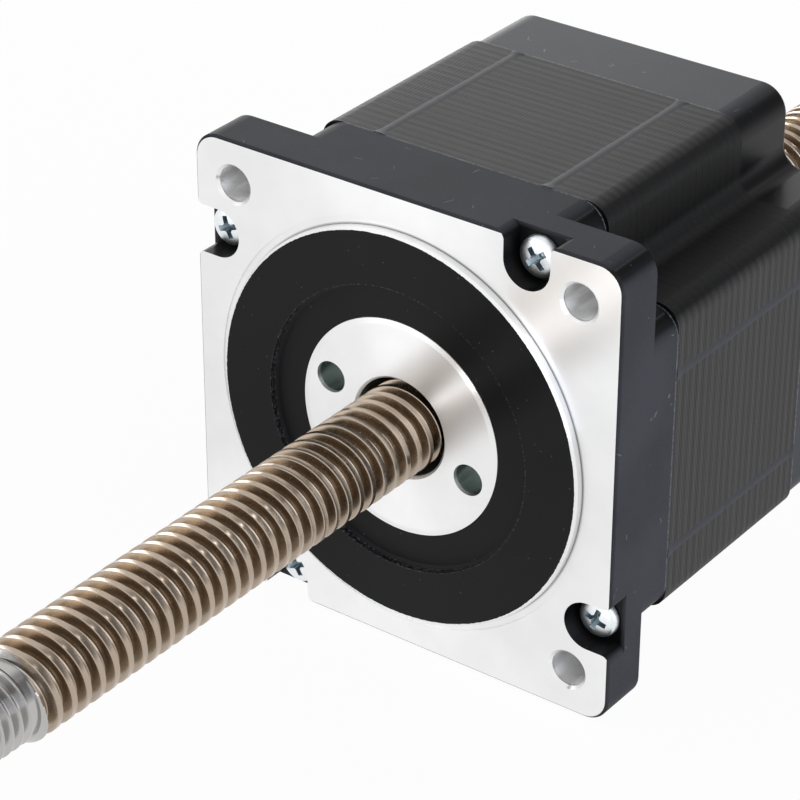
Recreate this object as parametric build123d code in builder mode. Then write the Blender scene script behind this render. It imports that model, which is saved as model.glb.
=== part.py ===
from build123d import *
import math
import os

# Non-captive linear stepper motor. Millimetres. The origin is the centre of the mounting face,
# +Y runs along the motor's axis into the body and +Z is up. The lead screw points along -Y.

# How far a cut runs past what it opens, and how closely two sizes agree that are meant to be the same
cut_overrun = 1.0
match_tolerance = 0.01

# Radial build of the motor, from the rotor out to the flat side of the standard 86 mm frame
rotor_radius = 25.0
air_gap = 0.3
pole_shoe_depth = 3.8
pole_neck_depth = 8.9
back_iron = 5.0
stator_bore_radius = rotor_radius + air_gap
pole_shoe_back = stator_bore_radius + pole_shoe_depth
winding_room_radius = pole_shoe_back + pole_neck_depth
half_side = winding_room_radius + back_iron
frame_side = 2 * half_side

# Mounting flange and pilot. The insets are measured from the flange's edge
flange_thickness = 9.6
flange_corner_radius = 4.8
face_chamfer = 0.5
mounting_hole_inset = 8.2
mounting_hole_radius = 3.25
mounting_hole_chamfer = 0.5
pilot_radius = 36.5125
pilot_height = 1.5
pilot_chamfer = 0.4
pilot_relief_width = 1.5
pilot_relief_depth = 0.25

# Outline of the body, with a square step cut out of each corner
corner_step = 14.0
stack_round = 4.0
stack_hollow = 3.8
bell_step_growth = 0.4
bell_round = 5.0
casting_round = 0.8
weld_spacing = 34.0
weld_radius = 0.8
weld_depth = 0.3

# Lengths along the axis
front_bell_depth = 17.0
stack_length = 41.0
rear_bell_depth = 15.8

# Recess in the pilot, and the walls of the two bells
recess_ledge = 6.25
recess_depth = 1.4
recess_round = 0.75
front_web = 6.1
rear_wall = 3.8
hub_wall = 3.0
shoulder_overlap = 3.35
rear_opening_clearance = 2.56
rear_opening_chamfer = 0.6

# Housing screws and their pockets. One inset is from the flat side, the other from the corner step
housing_screw_inset = 4.6
housing_screw_step_inset = 4.3
housing_screw_radius = 2.0
housing_screw_clearance = 0.25
housing_screw_thread_gap = 0.04
housing_screw_engagement = 8.0
tapped_hole_spare = 1.0
screw_head_radius = 3.6
screw_head_height = 2.2
screw_head_dome = 0.9
cross_slot_length = 3.6
cross_slot_width = 0.9
cross_slot_depth = 1.1
pocket_radius = 4.5
pocket_depth = 4.6
pocket_entry_round = 1.6

# Toothed core: eight poles of six teeth round fifty rotor teeth
pole_count = 8
teeth_per_pole = 6
rotor_tooth_count = 50
tooth_gap_width = 1.72
rotor_tooth_depth = 1.5
stator_tooth_depth = 1.5
pole_neck_width = 9.0
pole_neck_root = 1.0
core_margin = 2.0
magnet_thickness = 3.0
magnet_set_back = 2.5

# Coils and their insulators
insulator_plate = 1.2
insulator_finger = 0.8
insulator_lip = 0.8
insulator_clearance = 0.3
winding_thickness = 4.6
winding_round = 4.0
winding_end_gap = 0.7
lip_height = 4.2
lip_span_deg = 32.0

# Bearings
bearing_bore_radius = 15.0
ring_wall = 2.55
ring_spacing = 3.4
ball_count = 10
groove_depth = 1.15
race_clearance = 0.1
shield_thickness = 0.35
shield_inset = 0.6
shield_gap = 0.35
cage_wall = 2.0
cage_pocket_gap = 0.2
cage_web = 0.3
cage_end_gap = 0.3
ring_edge_chamfer = 0.5
washer_thickness = 0.4
washer_room = 1.0
washer_width = 3.6
washer_wave_count = 2
washer_wave_points = 8
washer_clearance = 0.3

# Rotor sleeve, nut and collar
sleeve_wall = 3.0
sleeve_seat_step = 1.0
sleeve_flange_step = 3.5
sleeve_end_gap = 0.3
sleeve_tail = 0.5
collar_gap = 0.15
collar_set_back = 1.2
collar_bore_clearance = 1.16
collar_bore_chamfer = 0.4
collar_bevel_width = 1.0
collar_bevel_depth = 0.15
collar_spigot_length = 8.0
spanner_hole_inset = 4.9
spanner_hole_radius = 2.9
spanner_hole_depth = 5.0
spanner_angle_deg = -19.4
nut_length = 36.0
nut_chamfer = 1.0
screw_clearance = 0.08

# Lead screw, at its major diameter
screw_radius = 7.9375
screw_reach_front = 97.0
screw_reach_rear = 153.0
screw_end_chamfer = 1.6
screw_shoulder_chamfer = 1.0
journal_radius = 7.0
journal_length = 20.0
journal_chamfer = 1.2
undercut_depth = 0.4
undercut_width = 1.2

# Lead grommet in the rear bell's side
grommet_hole_radius = 4.5
grommet_flange_radius = 6.2
grommet_flange_thickness = 1.4
grommet_round = 0.7
lead_hole_radius = 0.95
lead_hole_circle = 2.1
lead_count = 4

# Bearing sizes, worked out from its bore, rings and balls
inner_ring_radius = bearing_bore_radius + ring_wall
outer_ring_radius = inner_ring_radius + ring_spacing
bearing_outer_radius = outer_ring_radius + ring_wall
ball_circle_radius = (inner_ring_radius + outer_ring_radius) / 2
race_radius = ring_spacing / 2 + groove_depth
ball_radius = race_radius - race_clearance
cage_reach = ball_radius + cage_pocket_gap + cage_web
bearing_width = 2 * (cage_reach + cage_end_gap + shield_thickness + shield_inset)

# Places along the axis, worked out from the lengths
stack_front = front_bell_depth
stack_back = stack_front + stack_length
motor_back = stack_back + rear_bell_depth
recess_floor = recess_depth - pilot_height
front_bearing_front = recess_floor + front_web
front_bearing_back = front_bearing_front + bearing_width
rear_cavity_back = motor_back - rear_wall
rear_bearing_back = rear_cavity_back - washer_room
rear_bearing_front = rear_bearing_back - bearing_width
core_front = stack_front + core_margin
core_back = stack_back - core_margin
core_length = (core_back - core_front - magnet_thickness) / 2
magnet_front = core_front + core_length
collar_front = collar_set_back - pilot_height
winding_room_depth = insulator_plate + winding_thickness + winding_end_gap
nut_front = front_bearing_front + collar_spigot_length + sleeve_end_gap

# Radii worked out from the fits
hub_radius = bearing_outer_radius + hub_wall
shoulder_radius = bearing_outer_radius - shoulder_overlap
recess_radius = shoulder_radius + recess_ledge
collar_radius = shoulder_radius - collar_gap
collar_bore_radius = screw_radius + collar_bore_clearance
spanner_circle_radius = collar_radius - spanner_hole_inset
rear_opening_radius = screw_radius + rear_opening_clearance
sleeve_bore_radius = bearing_bore_radius - sleeve_wall
core_seat_radius = bearing_bore_radius + sleeve_seat_step
sleeve_flange_radius = bearing_bore_radius + sleeve_flange_step
magnet_radius = rotor_radius - magnet_set_back
insulator_outer_radius = winding_room_radius - insulator_clearance
winding_outer_radius = insulator_outer_radius - insulator_lip
winding_inner_radius = pole_shoe_back + insulator_lip
tooth_pitch_deg = 360 / rotor_tooth_count
pole_pitch_deg = 360 / pole_count
shoe_span_deg = (teeth_per_pole - 1) * tooth_pitch_deg + math.degrees(
    (math.radians(tooth_pitch_deg) * stator_bore_radius - tooth_gap_width) / stator_bore_radius
)


def front_plane(y):
    """Plane across the motor's axis at y, seen from the front: its first axis is X and its second Z."""
    return Plane.XZ.offset(-y)


def corner_screw_places():
    """The four housing screws, turned round the axis by quarter turns."""
    across = half_side - corner_step - housing_screw_step_inset
    up = half_side - housing_screw_inset
    return [(across, up), (up, -across), (-across, -up), (-up, across)]


def draw_body_outline(step, outer_round):
    """Square with a step cut from each corner. Its outer corners are rounded and its inner ones hollow."""
    Rectangle(frame_side, frame_side)
    with GridLocations(frame_side - step, frame_side - step, 2, 2):
        Rectangle(step, step, mode=Mode.SUBTRACT)
    fillet(vertices().sort_by_distance((0, 0))[4:], radius=outer_round)
    fillet(vertices().sort_by_distance((0, 0))[:4], radius=stack_hollow)


def draw_bell_outline():
    """The castings are flush with the stack's sides and smaller at its steps, with softer corners."""
    draw_body_outline(corner_step + bell_step_growth, bell_round)


def draw_screw_pockets():
    """A round pocket at each housing screw, open to the nearest side through a flared mouth."""
    half_mouth = pocket_radius + pocket_entry_round
    for turn, place in enumerate(corner_screw_places()):
        with Locations(Location((*place, 0), (0, 0, -90 * turn))):
            Circle(pocket_radius)
            with Locations((0, housing_screw_inset)):
                Rectangle(2 * pocket_radius, 2 * housing_screw_inset)
                Rectangle(2 * half_mouth, 2 * pocket_entry_round)
            for side in (-1, 1):
                with Locations((side * half_mouth, housing_screw_inset - pocket_entry_round)):
                    Circle(pocket_entry_round, mode=Mode.SUBTRACT)


def cut_across(y, depth, places, radius):
    """Drills round holes along the axis, from y towards the back."""
    with BuildSketch(front_plane(y)) as holes:
        with Locations(*places):
            Circle(radius)
    extrude(holes.sketch, amount=-depth, mode=Mode.SUBTRACT)


def rims(radius, y):
    """The circular edges of one radius that lie at y."""
    return [
        e
        for e in edges().filter_by(GeomType.CIRCLE)
        if abs(e.radius - radius) < match_tolerance and abs(e.center().Y - y) < match_tolerance
    ]


def mounting_hole_places():
    reach = half_side - mounting_hole_inset
    return [(x, z) for x in (-reach, reach) for z in (-reach, reach)]


# Front end bell: flange with its ears, stepped skirt, pilot, recess and bearing seat
with BuildPart() as front_end_bell:
    with BuildSketch(front_plane(0)):
        RectangleRounded(frame_side, frame_side, flange_corner_radius)
    extrude(amount=-flange_thickness)
    chamfer(faces().sort_by(Axis.Y)[0].edges(), length=face_chamfer)
    with BuildSketch(front_plane(face_chamfer)):
        draw_bell_outline()
    extrude(amount=-(front_bell_depth - face_chamfer))
    with BuildSketch(front_plane(0)):
        draw_screw_pockets()
    extrude(amount=-pocket_depth, mode=Mode.SUBTRACT)
    with BuildSketch(front_plane(0)):
        Circle(pilot_radius + pilot_relief_width)
    extrude(amount=-pilot_relief_depth, mode=Mode.SUBTRACT)
    with BuildSketch(front_plane(pilot_relief_depth)):
        Circle(pilot_radius)
    extrude(amount=pilot_height + pilot_relief_depth)
    chamfer(faces().sort_by(Axis.Y)[0].edges(), length=pilot_chamfer)
    with BuildSketch(Plane.XY):
        with BuildLine():
            Polyline(
                (0, -pilot_height),
                (recess_radius, -pilot_height),
                (recess_radius, recess_floor),
                (shoulder_radius, recess_floor),
                (shoulder_radius, front_bearing_front),
                (bearing_outer_radius, front_bearing_front),
                (bearing_outer_radius, front_bearing_back),
                (hub_radius, front_bearing_back),
                (hub_radius, front_bell_depth - winding_room_depth),
                (winding_room_radius, front_bell_depth - winding_room_depth),
                (winding_room_radius, front_bell_depth),
                (0, front_bell_depth),
                close=True,
            )
        make_face()
        fillet(vertices().sort_by_distance((recess_radius, recess_floor))[0], radius=recess_round)
    revolve(axis=Axis.Y, mode=Mode.SUBTRACT)
    cut_across(0, flange_thickness, mounting_hole_places(), mounting_hole_radius)
    chamfer(rims(mounting_hole_radius, 0), length=mounting_hole_chamfer)
    cut_across(
        pocket_depth,
        front_bell_depth - pocket_depth,
        corner_screw_places(),
        housing_screw_radius + housing_screw_clearance,
    )
front_end_bell.part.label = "front_end_bell"


# Stator stack: stepped outline with weld grooves, and eight toothed poles inside
with BuildPart() as stator_stack:
    with BuildSketch(front_plane(stack_front)):
        draw_body_outline(corner_step, stack_round)
        Circle(winding_room_radius, mode=Mode.SUBTRACT)
        neck_front = (stator_bore_radius + pole_shoe_back) / 2
        neck_length = winding_room_radius + pole_neck_root - neck_front
        with PolarLocations(neck_front + neck_length / 2, pole_count):
            Rectangle(neck_length, pole_neck_width)
        with BuildSketch(mode=Mode.ADD):
            Circle(pole_shoe_back)
            Circle(stator_bore_radius, mode=Mode.SUBTRACT)
            slot_angle = math.radians(pole_pitch_deg - shoe_span_deg)
            slot_width = 2 * stator_bore_radius * math.sin(slot_angle / 2)
            with PolarLocations(stator_bore_radius, pole_count, start_angle=pole_pitch_deg / 2):
                Rectangle(2 * (pole_shoe_depth + cut_overrun), slot_width, mode=Mode.SUBTRACT)
            for pole in range(pole_count):
                for gap in range(teeth_per_pole - 1):
                    angle = pole * pole_pitch_deg + (gap - (teeth_per_pole - 2) / 2) * tooth_pitch_deg
                    with PolarLocations(stator_bore_radius, 1, start_angle=angle):
                        Rectangle(2 * stator_tooth_depth, tooth_gap_width, mode=Mode.SUBTRACT)
        with Locations(*corner_screw_places()):
            Circle(housing_screw_radius + housing_screw_clearance, mode=Mode.SUBTRACT)
        for turn in range(4):
            with Locations(Location((0, 0, 0), (0, 0, 90 * turn))):
                groove_height = half_side + weld_radius - weld_depth
                with Locations((-weld_spacing / 2, groove_height), (weld_spacing / 2, groove_height)):
                    Circle(weld_radius, mode=Mode.SUBTRACT)
    extrude(amount=-stack_length)
stator_stack.part.label = "stator_stack"


# Rear end bell: stepped cover with bearing seat, screw opening and lead outlet
with BuildPart() as rear_end_bell:
    with BuildSketch(front_plane(stack_back)):
        draw_bell_outline()
    extrude(amount=-rear_bell_depth)
    fillet(faces().sort_by(Axis.Y)[-1].edges(), radius=casting_round)
    with BuildSketch(Plane.XY):
        with BuildLine():
            Polyline(
                (0, stack_back),
                (winding_room_radius, stack_back),
                (winding_room_radius, rear_cavity_back),
                (hub_radius, rear_cavity_back),
                (hub_radius, rear_bearing_front),
                (bearing_outer_radius, rear_bearing_front),
                (bearing_outer_radius, rear_cavity_back),
                (rear_opening_radius, rear_cavity_back),
                (rear_opening_radius, motor_back),
                (0, motor_back),
                close=True,
            )
        make_face()
    revolve(axis=Axis.Y, mode=Mode.SUBTRACT)
    chamfer(rims(rear_opening_radius, motor_back), length=rear_opening_chamfer)
    tapped_depth = housing_screw_engagement + tapped_hole_spare
    cut_across(stack_back, tapped_depth, corner_screw_places(), housing_screw_radius)
    with BuildSketch(Plane.YZ.offset(-half_side)):
        with Locations(((stack_back + motor_back) / 2, 0)):
            Circle(grommet_hole_radius)
    extrude(amount=half_side - winding_room_radius + cut_overrun, mode=Mode.SUBTRACT)
rear_end_bell.part.label = "rear_end_bell"


# Four screws clamp the bells on the stack. Their domed heads sit on the pocket floors
shank_radius = housing_screw_radius - housing_screw_thread_gap
head_top = pocket_depth - screw_head_height
screw_end = stack_back + housing_screw_engagement
with BuildPart() as one_screw:
    with BuildSketch(Plane.XY):
        with BuildLine():
            Polyline(
                (0, head_top),
                (0, screw_end),
                (shank_radius, screw_end),
                (shank_radius, pocket_depth),
                (screw_head_radius, pocket_depth),
                (screw_head_radius, head_top + screw_head_dome),
            )
            TangentArc((0, head_top), (screw_head_radius, head_top + screw_head_dome), tangent=(1, 0))
        make_face()
    revolve(axis=Axis.Y)
    with BuildSketch(front_plane(head_top)):
        Rectangle(cross_slot_length, cross_slot_width)
        Rectangle(cross_slot_width, cross_slot_length)
    extrude(amount=-cross_slot_depth, mode=Mode.SUBTRACT)

with BuildPart() as housing_screws:
    with Locations(*[(x, 0, z) for x, z in corner_screw_places()]):
        add(one_screw.part)
housing_screws.part.label = "housing_screws"


# Slot insulators: a frame on each end of the poles, with lips that hold the coils and fingers in the slots
plate_front = stack_front - insulator_plate
half_finger = pole_neck_width / 2 + insulator_finger
with BuildPart() as front_insulator:
    with BuildSketch(front_plane(plate_front)):
        Circle(insulator_outer_radius)
        Circle(winding_outer_radius, mode=Mode.SUBTRACT)
        frame_length = insulator_outer_radius - insulator_lip / 2 - pole_shoe_back
        with PolarLocations(pole_shoe_back + frame_length / 2, pole_count):
            Rectangle(frame_length, 2 * half_finger)
    extrude(amount=-insulator_plate)
    with BuildSketch(front_plane(plate_front)):
        Circle(insulator_outer_radius)
        Circle(winding_outer_radius, mode=Mode.SUBTRACT)
        with BuildSketch(mode=Mode.ADD):
            Circle(winding_inner_radius)
            Circle(pole_shoe_back, mode=Mode.SUBTRACT)
            gap_deg = pole_pitch_deg - lip_span_deg
            gap_width = 2 * pole_shoe_back * math.sin(math.radians(gap_deg / 2))
            with PolarLocations(pole_shoe_back, pole_count, start_angle=pole_pitch_deg / 2):
                Rectangle(2 * (insulator_lip + cut_overrun), gap_width, mode=Mode.SUBTRACT)
    extrude(amount=lip_height)
    with BuildSketch(front_plane(stack_front)):
        finger_length = winding_outer_radius - pole_shoe_back
        finger_middle = half_finger - insulator_finger / 2
        with PolarLocations(pole_shoe_back + finger_length / 2, pole_count):
            with Locations((0, finger_middle), (0, -finger_middle)):
                Rectangle(finger_length, insulator_finger)
    extrude(amount=-(stack_length / 2 - insulator_clearance))
front_insulator.part.label = "front_insulator"

with BuildPart() as rear_insulator:
    mirror(front_insulator.part, about=front_plane((stack_front + stack_back) / 2))
rear_insulator.part.label = "rear_insulator"


# Coils: one winding round each pole neck. Every second pole belongs to the same phase
with BuildPart() as one_coil:
    with BuildSketch(Plane.YZ.offset(winding_inner_radius)):
        window_length = stack_length + 2 * insulator_plate
        with Locations(((stack_front + stack_back) / 2, 0)):
            RectangleRounded(
                window_length + 2 * winding_thickness, 2 * (half_finger + winding_thickness), winding_round
            )
            Rectangle(window_length, 2 * half_finger, mode=Mode.SUBTRACT)
    extrude(amount=winding_outer_radius - winding_inner_radius)
    with BuildSketch(front_plane(0)):
        Circle(winding_outer_radius)
    extrude(amount=-motor_back, mode=Mode.INTERSECT)


def wind_phase(first_pole):
    """The coils of one phase, on every second pole from the first one."""
    turns = [Location((0, 0, 0), (0, pole * pole_pitch_deg, 0)) for pole in range(first_pole, pole_count, 2)]
    with BuildPart() as phase:
        with Locations(*turns):
            add(one_coil.part)
    return phase


phase_a_coils = wind_phase(0)
phase_a_coils.part.label = "phase_a_coils"
phase_b_coils = wind_phase(1)
phase_b_coils.part.label = "phase_b_coils"


# Ball bearing, made round y = 0 and then seated in both bells
def draw_ring(inner, outer, chamfered):
    """Half section of a bearing ring with its ball groove. The two corners on the seat side are chamfered."""
    with Locations(((inner + outer) / 2, 0)):
        Rectangle(outer - inner, bearing_width)
    chamfer([v for v in vertices() if abs(v.X - chamfered) < match_tolerance], length=ring_edge_chamfer)
    with Locations((ball_circle_radius, 0)):
        Circle(race_radius, mode=Mode.SUBTRACT)


with BuildPart() as outer_ring:
    with BuildSketch(Plane.XY):
        draw_ring(outer_ring_radius, bearing_outer_radius, bearing_outer_radius)
    revolve(axis=Axis.Y)

with BuildPart() as inner_ring:
    with BuildSketch(Plane.XY):
        draw_ring(bearing_bore_radius, inner_ring_radius, bearing_bore_radius)
    revolve(axis=Axis.Y)

with BuildPart() as balls:
    with Locations(Plane.XZ):
        with PolarLocations(ball_circle_radius, ball_count):
            Sphere(ball_radius)

with BuildPart() as cage:
    with BuildSketch(front_plane(-cage_reach)):
        Circle(ball_circle_radius + cage_wall / 2)
        Circle(ball_circle_radius - cage_wall / 2, mode=Mode.SUBTRACT)
    extrude(amount=-(cage_reach + ball_radius / 2))
    with Locations(Plane.XZ):
        with PolarLocations(ball_circle_radius, ball_count):
            Cylinder(ball_radius + cage_pocket_gap, 2 * cage_wall, rotation=(0, 90, 0), mode=Mode.SUBTRACT)

with BuildPart() as shields:
    for y in (shield_inset - bearing_width / 2, bearing_width / 2 - shield_inset - shield_thickness):
        with BuildSketch(front_plane(y)):
            Circle(outer_ring_radius)
            Circle(inner_ring_radius + shield_gap, mode=Mode.SUBTRACT)
        extrude(amount=-shield_thickness)


def seat_in_bell(piece, bell, kind, y):
    """A bearing piece moved to its seat and named for its bell."""
    with BuildPart() as seated:
        with Locations((0, y, 0)):
            add(piece.part)
    seated.part.label = f"{bell}_bearing_{kind}"
    return seated


bearing_middles = {
    "front": (front_bearing_front + front_bearing_back) / 2,
    "rear": (rear_bearing_front + rear_bearing_back) / 2,
}
bearing_pieces = [
    seat_in_bell(piece, bell, kind, y)
    for bell, y in bearing_middles.items()
    for piece, kind in (
        (outer_ring, "outer_ring"),
        (inner_ring, "inner_ring"),
        (balls, "balls"),
        (cage, "cage"),
        (shields, "shields"),
    )
]


# Wave washer between the rear bearing and its bell
def wave_line(height):
    """The washer's wave across its diameter, at a height above the middle of its room."""
    steps = washer_wave_points * washer_wave_count
    half_wave = (washer_room - washer_thickness) / 2
    points = []
    for step in range(steps + 1):
        share = 2 * step / steps - 1
        rise = half_wave * math.cos(math.pi * washer_wave_count * share)
        points.append((share * bearing_outer_radius, rear_bearing_back + washer_room / 2 + rise + height))
    return points


with BuildPart() as wave_washer:
    with BuildSketch(Plane.XY):
        with BuildLine():
            lower = Spline(*wave_line(-washer_thickness / 2))
            upper = Spline(*wave_line(washer_thickness / 2))
            Line(lower @ 0, upper @ 0)
            Line(lower @ 1, upper @ 1)
        make_face()
    extrude(amount=bearing_outer_radius, both=True)
    with BuildSketch(front_plane(rear_bearing_back)):
        Circle(bearing_outer_radius - washer_clearance)
        Circle(bearing_outer_radius - washer_clearance - washer_width, mode=Mode.SUBTRACT)
    extrude(amount=-washer_room, mode=Mode.INTERSECT)
wave_washer.part.label = "wave_washer"


# Rotor sleeve: hollow shaft with a flange in front of the cores
sleeve_front = front_bearing_front + sleeve_end_gap
sleeve_back = rear_bearing_back + sleeve_tail
with BuildPart() as rotor_sleeve:
    with BuildSketch(Plane.XY):
        with BuildLine():
            Polyline(
                (sleeve_bore_radius, sleeve_front),
                (bearing_bore_radius, sleeve_front),
                (bearing_bore_radius, front_bearing_back),
                (sleeve_flange_radius, front_bearing_back),
                (sleeve_flange_radius, core_front),
                (core_seat_radius, core_front),
                (core_seat_radius, rear_bearing_front),
                (bearing_bore_radius, rear_bearing_front),
                (bearing_bore_radius, sleeve_back),
                (sleeve_bore_radius, sleeve_back),
                close=True,
            )
        make_face()
    revolve(axis=Axis.Y)
rotor_sleeve.part.label = "rotor_sleeve"


def stack_rotor_core(y, first_angle):
    """One toothed rotor core. The angle turns its teeth against the other core's."""
    with BuildPart() as core:
        with BuildSketch(front_plane(y)):
            Circle(rotor_radius)
            Circle(core_seat_radius, mode=Mode.SUBTRACT)
            with PolarLocations(rotor_radius, rotor_tooth_count, start_angle=first_angle):
                Rectangle(2 * rotor_tooth_depth, tooth_gap_width, mode=Mode.SUBTRACT)
        extrude(amount=-core_length)
    return core


front_rotor_core = stack_rotor_core(core_front, 0)
front_rotor_core.part.label = "front_rotor_core"
rear_rotor_core = stack_rotor_core(magnet_front + magnet_thickness, tooth_pitch_deg / 2)
rear_rotor_core.part.label = "rear_rotor_core"

with BuildPart() as rotor_magnet:
    with BuildSketch(front_plane(magnet_front)):
        Circle(magnet_radius)
        Circle(core_seat_radius, mode=Mode.SUBTRACT)
    extrude(amount=-magnet_thickness)
rotor_magnet.part.label = "rotor_magnet"

with BuildPart() as rotor_spacer:
    with BuildSketch(front_plane(core_back)):
        Circle(sleeve_flange_radius)
        Circle(core_seat_radius, mode=Mode.SUBTRACT)
    extrude(amount=-(rear_bearing_front - core_back))
rotor_spacer.part.label = "rotor_spacer"


# Nut collar: turned disc in front of the bearing, with a spigot in the sleeve and two spanner holes
collar_back = front_bearing_front
with BuildPart() as nut_collar:
    with BuildSketch(Plane.XY):
        with BuildLine():
            Polyline(
                (collar_bore_radius, collar_front),
                (collar_radius - collar_bevel_width, collar_front),
                (collar_radius, collar_front + collar_bevel_depth),
                (collar_radius, collar_back),
                (sleeve_bore_radius, collar_back),
                (sleeve_bore_radius, collar_back + collar_spigot_length),
                (collar_bore_radius, collar_back + collar_spigot_length),
                close=True,
            )
        make_face()
        chamfer(vertices().sort_by_distance((collar_bore_radius, collar_front))[0], length=collar_bore_chamfer)
    revolve(axis=Axis.Y)
    with BuildSketch(front_plane(collar_front)):
        with PolarLocations(spanner_circle_radius, 2, start_angle=spanner_angle_deg):
            Circle(spanner_hole_radius)
    extrude(amount=-spanner_hole_depth, mode=Mode.SUBTRACT)
nut_collar.part.label = "nut_collar"


# Drive nut, at the screw's major diameter with a running clearance
with BuildPart() as drive_nut:
    with BuildSketch(Plane.XY):
        with BuildLine():
            Polyline(
                (screw_radius + screw_clearance, nut_front),
                (sleeve_bore_radius, nut_front),
                (sleeve_bore_radius, nut_front + nut_length),
                (screw_radius + screw_clearance, nut_front + nut_length),
                close=True,
            )
        make_face()
        chamfer([v for v in vertices() if v.X < sleeve_bore_radius - match_tolerance], length=nut_chamfer)
    revolve(axis=Axis.Y)
drive_nut.part.label = "drive_nut"


# Lead screw: threaded bar at its major diameter, with a turned journal at the front
journal_front = -screw_reach_front - journal_length
undercut_front = -screw_reach_front - undercut_width
undercut_radius = journal_radius - undercut_depth
with BuildPart() as lead_screw:
    with BuildSketch(Plane.XY):
        with BuildLine():
            Polyline(
                (0, journal_front),
                (journal_radius - journal_chamfer, journal_front),
                (journal_radius, journal_front + journal_chamfer),
                (journal_radius, undercut_front),
                (undercut_radius, undercut_front + undercut_depth),
                (undercut_radius, -screw_reach_front),
                (screw_radius - screw_shoulder_chamfer, -screw_reach_front),
                (screw_radius, -screw_reach_front + screw_shoulder_chamfer),
                (screw_radius, screw_reach_rear - screw_end_chamfer),
                (screw_radius - screw_end_chamfer, screw_reach_rear),
                (0, screw_reach_rear),
                close=True,
            )
        make_face()
    revolve(axis=Axis.Y)
lead_screw.part.label = "lead_screw"


# Rubber grommet in the rear bell's left side, with a hole for each motor lead
bell_side = Plane.YZ.offset(-half_side)
grommet_place = ((stack_back + motor_back) / 2, 0)
with BuildPart() as lead_grommet:
    with BuildSketch(bell_side):
        with Locations(grommet_place):
            Circle(grommet_flange_radius)
    extrude(amount=-grommet_flange_thickness)
    fillet(faces().sort_by(Axis.X)[0].edges(), radius=grommet_round)
    with BuildSketch(bell_side):
        with Locations(grommet_place):
            Circle(grommet_hole_radius)
    extrude(amount=half_side - winding_room_radius)
    with BuildSketch(bell_side.offset(-grommet_flange_thickness)):
        with Locations(grommet_place):
            with PolarLocations(lead_hole_circle, lead_count):
                Circle(lead_hole_radius)
    extrude(amount=half_side - winding_room_radius + grommet_flange_thickness, mode=Mode.SUBTRACT)
lead_grommet.part.label = "lead_grommet"


os.makedirs("parts", exist_ok=True)
for name in (
    front_end_bell,
    stator_stack,
    rear_end_bell,
    housing_screws,
    front_insulator,
    rear_insulator,
    phase_a_coils,
    phase_b_coils,
    *bearing_pieces,
    wave_washer,
    rotor_sleeve,
    front_rotor_core,
    rear_rotor_core,
    rotor_magnet,
    rotor_spacer,
    nut_collar,
    drive_nut,
    lead_screw,
    lead_grommet,
):
    export_step(name.part, f"parts/{name.part.label}.step")
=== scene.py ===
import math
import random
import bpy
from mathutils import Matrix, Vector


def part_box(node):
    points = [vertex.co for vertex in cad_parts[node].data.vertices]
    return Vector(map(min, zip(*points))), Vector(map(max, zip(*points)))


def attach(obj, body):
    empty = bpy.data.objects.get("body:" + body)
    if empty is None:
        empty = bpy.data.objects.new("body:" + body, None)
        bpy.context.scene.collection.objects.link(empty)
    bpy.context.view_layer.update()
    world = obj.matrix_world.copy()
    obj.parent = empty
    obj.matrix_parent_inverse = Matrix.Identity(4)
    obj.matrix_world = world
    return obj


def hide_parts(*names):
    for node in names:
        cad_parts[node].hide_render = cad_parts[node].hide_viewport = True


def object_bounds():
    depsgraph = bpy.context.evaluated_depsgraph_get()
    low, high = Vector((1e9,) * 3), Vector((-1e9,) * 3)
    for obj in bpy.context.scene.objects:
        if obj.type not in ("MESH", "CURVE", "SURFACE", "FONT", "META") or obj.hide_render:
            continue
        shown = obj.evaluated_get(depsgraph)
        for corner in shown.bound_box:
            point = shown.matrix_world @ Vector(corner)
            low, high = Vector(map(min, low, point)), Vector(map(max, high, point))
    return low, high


bl_info = {
    "name": "Hollow rotor linear stepper motor",
    "version": (1, 0, 0),
    "blender": (4, 5, 0),
    "location": "3D View > Sidebar > Stepper motor",
    "description": "Threads, screws, laminations, welds, finishes and a stage for the packed motor",
    "category": "Object",
}

import bmesh
import bpy
from bpy.props import FloatProperty, FloatVectorProperty, IntProperty, PointerProperty
from mathutils import Matrix, Vector, noise

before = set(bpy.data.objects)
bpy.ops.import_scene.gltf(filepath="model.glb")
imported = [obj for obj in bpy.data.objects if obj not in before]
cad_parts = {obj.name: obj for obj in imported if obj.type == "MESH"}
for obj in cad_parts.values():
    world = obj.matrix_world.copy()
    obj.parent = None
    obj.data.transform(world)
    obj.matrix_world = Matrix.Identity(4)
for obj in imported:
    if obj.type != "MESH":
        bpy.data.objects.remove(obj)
cad_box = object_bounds()

MM = 0.001
AXIS = Vector((0, 1, 0))
WELD_TOLERANCE = 1e-6
SHARP_ANGLE = math.radians(28)
# A quarter turn from the tangent, so highlights stretch across the tool marks and not along them
ACROSS_MARKS = 0.25

# The Mix node has a set of sockets for each kind of value, all with the same names
VALUE_A, VALUE_B = 2, 3
COLOUR_A, COLOUR_B, MIXED_COLOUR = 6, 7, 2

_, flange_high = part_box("front_end_bell")
stack_low, stack_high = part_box("stator_stack")
screw_low, screw_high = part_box("lead_screw")
heads_low, heads_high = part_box("housing_screws")
collar_low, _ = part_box("nut_collar")
_, rear_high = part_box("rear_end_bell")
half_side = flange_high.x
stack_length = stack_high.y - stack_low.y


def linear(hex_colour):
    """The linear colour of an sRGB hex value, as shaders take it."""
    channels = [int(hex_colour[start : start + 2], 16) / 255 for start in (0, 2, 4)]
    return [c / 12.92 if c <= 0.04045 else ((c + 0.055) / 1.055) ** 2.4 for c in channels] + [1.0]


def length_size(name, description, millimetres):
    """A length that a user can change, given in millimetres."""
    return FloatProperty(
        name=name, description=description, default=millimetres * MM, subtype="DISTANCE", unit="LENGTH", precision=5
    )


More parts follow.
